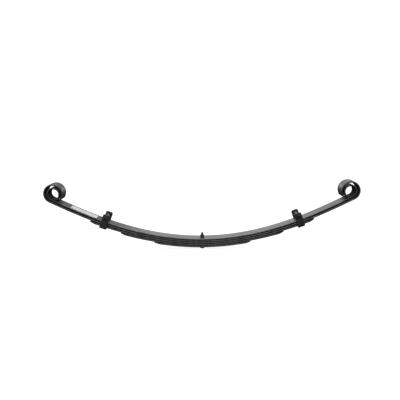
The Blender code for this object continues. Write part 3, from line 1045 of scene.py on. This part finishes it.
def label_stock(name):
    """Pale matt vinyl with faint handling marks, a little greyer along its edges."""
    material, tree, shader = start_material(name, specular=0.4)
    where = strip_place(tree)
    cloud = noise(tree, where, 38.0, detail=5.0)
    fibre = noise(tree, stretched(tree, where, (1.0, 3.0, 1.0)), 1400.0, detail=3.0)
    scuff = noise(tree, stretched(tree, where, (1.0, 12.0, 1.0)), 60.0, detail=4.0)
    colour = mixed(tree, remap(tree, cloud, 0.35, 0.68), grey(0.41, 0.003), grey(0.33, 0.004))
    colour = mixed(tree, remap(tree, scuff, 0.60, 0.74, 0.0, 0.35), colour, grey(0.30, 0.004))
    colour = mixed(tree, product(tree, attribute(tree, "wear"), 0.4), colour, grey(0.33, 0.004))
    rough = remap(tree, fibre, 0.3, 0.7, 0.42, 0.56)
    finish_shader(tree, shader, colour, rough, bumped(tree, ((cloud, 0.00015), (fibre, 0.00002))))
    return material


# ================================================================ stage, lights and camera
def stage_mesh(name, work):
    mesh = bpy.data.meshes.new(name)
    work.to_mesh(mesh)
    work.free()
    return mesh


def keep_out_of_reflections(thing):
    """The studio's light comes from its lamps and sky, so the floor and backdrop add none to the metal."""
    thing.visible_diffuse = False
    thing.visible_glossy = False


def make_floor():
    work = bmesh.new()
    bmesh.ops.create_grid(work, x_segments=1, y_segments=1, size=FLOOR_SIZE)
    material, tree, shader = start_material("pale_floor", specular=0.1)
    patches = noise(tree, object_place(tree), 0.4)
    tint = mixed(tree, patches, grey(FLOOR_TONE * 0.98), grey(FLOOR_TONE * 1.02))
    tree.links.new(tint, shader.inputs["Base Color"])
    shader.inputs["Roughness"].default_value = 0.9
    shader.inputs["Emission Color"].default_value = WHITE
    shader.inputs["Emission Strength"].default_value = FLOOR_GLOW
    floor = make_piece("floor", stage_mesh("floor", work), material)
    floor.location.z = CAD_BOX[0][2]
    keep_out_of_reflections(floor)
    floor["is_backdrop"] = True


def make_backdrop():
    """A pale round wall a long way off."""
    work = bmesh.new()
    bmesh.ops.create_cone(
        work,
        segments=BACKDROP_SIDES,
        radius1=BACKDROP_RADIUS,
        radius2=BACKDROP_RADIUS,
        depth=2 * BACKDROP_RADIUS,
    )
    material, _, shader = start_material("pale_backdrop")
    shader.inputs["Base Color"].default_value = BLACK
    shader.inputs["Emission Color"].default_value = WHITE
    shader.inputs["Emission Strength"].default_value = 1.0
    backdrop = make_piece("backdrop", stage_mesh("backdrop", work), material)
    keep_out_of_reflections(backdrop)
    backdrop.visible_shadow = False
    backdrop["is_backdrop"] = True


def make_world():
    """Bright overhead, dimmer all round and nearly dark below."""
    world = bpy.data.worlds.new("studio")
    world.use_nodes = True
    tree = world.node_tree
    direction = add_node(tree, "TexCoord").outputs["Generated"]
    split = add_node(tree, "SeparateXYZ", {"Vector": direction})
    around = remap(tree, split.outputs["Y"], -0.4, 0.9, SKY_FRONT, SKY_BEHIND)
    above = remap(tree, split.outputs["Z"], 0.2, 0.8)
    below = remap(tree, split.outputs["Z"], -0.25, 0.0, SKY_BELOW, 1.0)
    light = math_node(tree, "ADD", around, product(tree, above, SKY_ABOVE))
    background = tree.nodes["Background"]
    background.inputs["Color"].default_value = WHITE
    tree.links.new(product(tree, light, below), background.inputs["Strength"])
    bpy.context.scene.world = world


def make_softbox(box):
    light = bpy.data.lights.new(box.name, "AREA")
    light.shape = "RECTANGLE"
    light.size, light.size_y = box.size
    light.energy = box.watts
    lamp = bpy.data.objects.new(box.name, light)
    bpy.context.scene.collection.objects.link(lamp)
    lamp.location = box.place
    lamp.rotation_euler = (Vector(box.aim) - Vector(box.place)).to_track_quat("-Z", "Y").to_euler()
    lamp.visible_camera = False


def make_camera():
    data = bpy.data.cameras.new("camera")
    data.sensor_width = SENSOR_WIDTH
    data.lens = FOCAL_LENGTH
    data.clip_start = NEAREST
    data.clip_end = FARTHEST
    camera = bpy.data.objects.new("camera", data)
    bpy.context.scene.collection.objects.link(camera)
    turn = (
        Matrix.Rotation(math.radians(CAMERA_YAW), 4, "Z")
        @ Matrix.Rotation(math.radians(90 - CAMERA_PITCH), 4, "X")
        @ Matrix.Rotation(math.radians(CAMERA_ROLL), 4, "Z")
    )
    camera.matrix_world = Matrix.Translation((0, -CAMERA_DISTANCE, CAMERA_HEIGHT)) @ turn
    bpy.context.scene.camera = camera


def make_studio():
    make_floor()
    make_backdrop()
    make_world()
    for box in SOFTBOXES:
        make_softbox(box)
    make_camera()
    bpy.context.scene.view_settings.view_transform = "Standard"


def write_sizes():
    boxes = {"cad": CAD_BOX, "visual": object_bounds()}
    plain = {name: [[float(v) for v in corner] for corner in box] for name, box in boxes.items()}


def main():
    materials = {
        "leaf_paint": painted_steel("leaf_paint", strip_place, LEAF_PAINT),
        "clip_paint": painted_steel("clip_paint", object_place, CLIP_PAINT),
        "fastener": blackened_fastener("fastener"),
        "pad_plastic": molded_plastic("pad_plastic"),
        "label": label_stock("label"),
    }
    make_leaves(materials["leaf_paint"])
    make_tip_pads(materials["pad_plastic"])
    make_label(materials["label"])
    make_center_bolt(materials["fastener"])
    make_center_nut(materials["fastener"])
    for side_name in SIDES:
        make_clip(side_name, materials)
    make_studio()


main()
write_sizes()
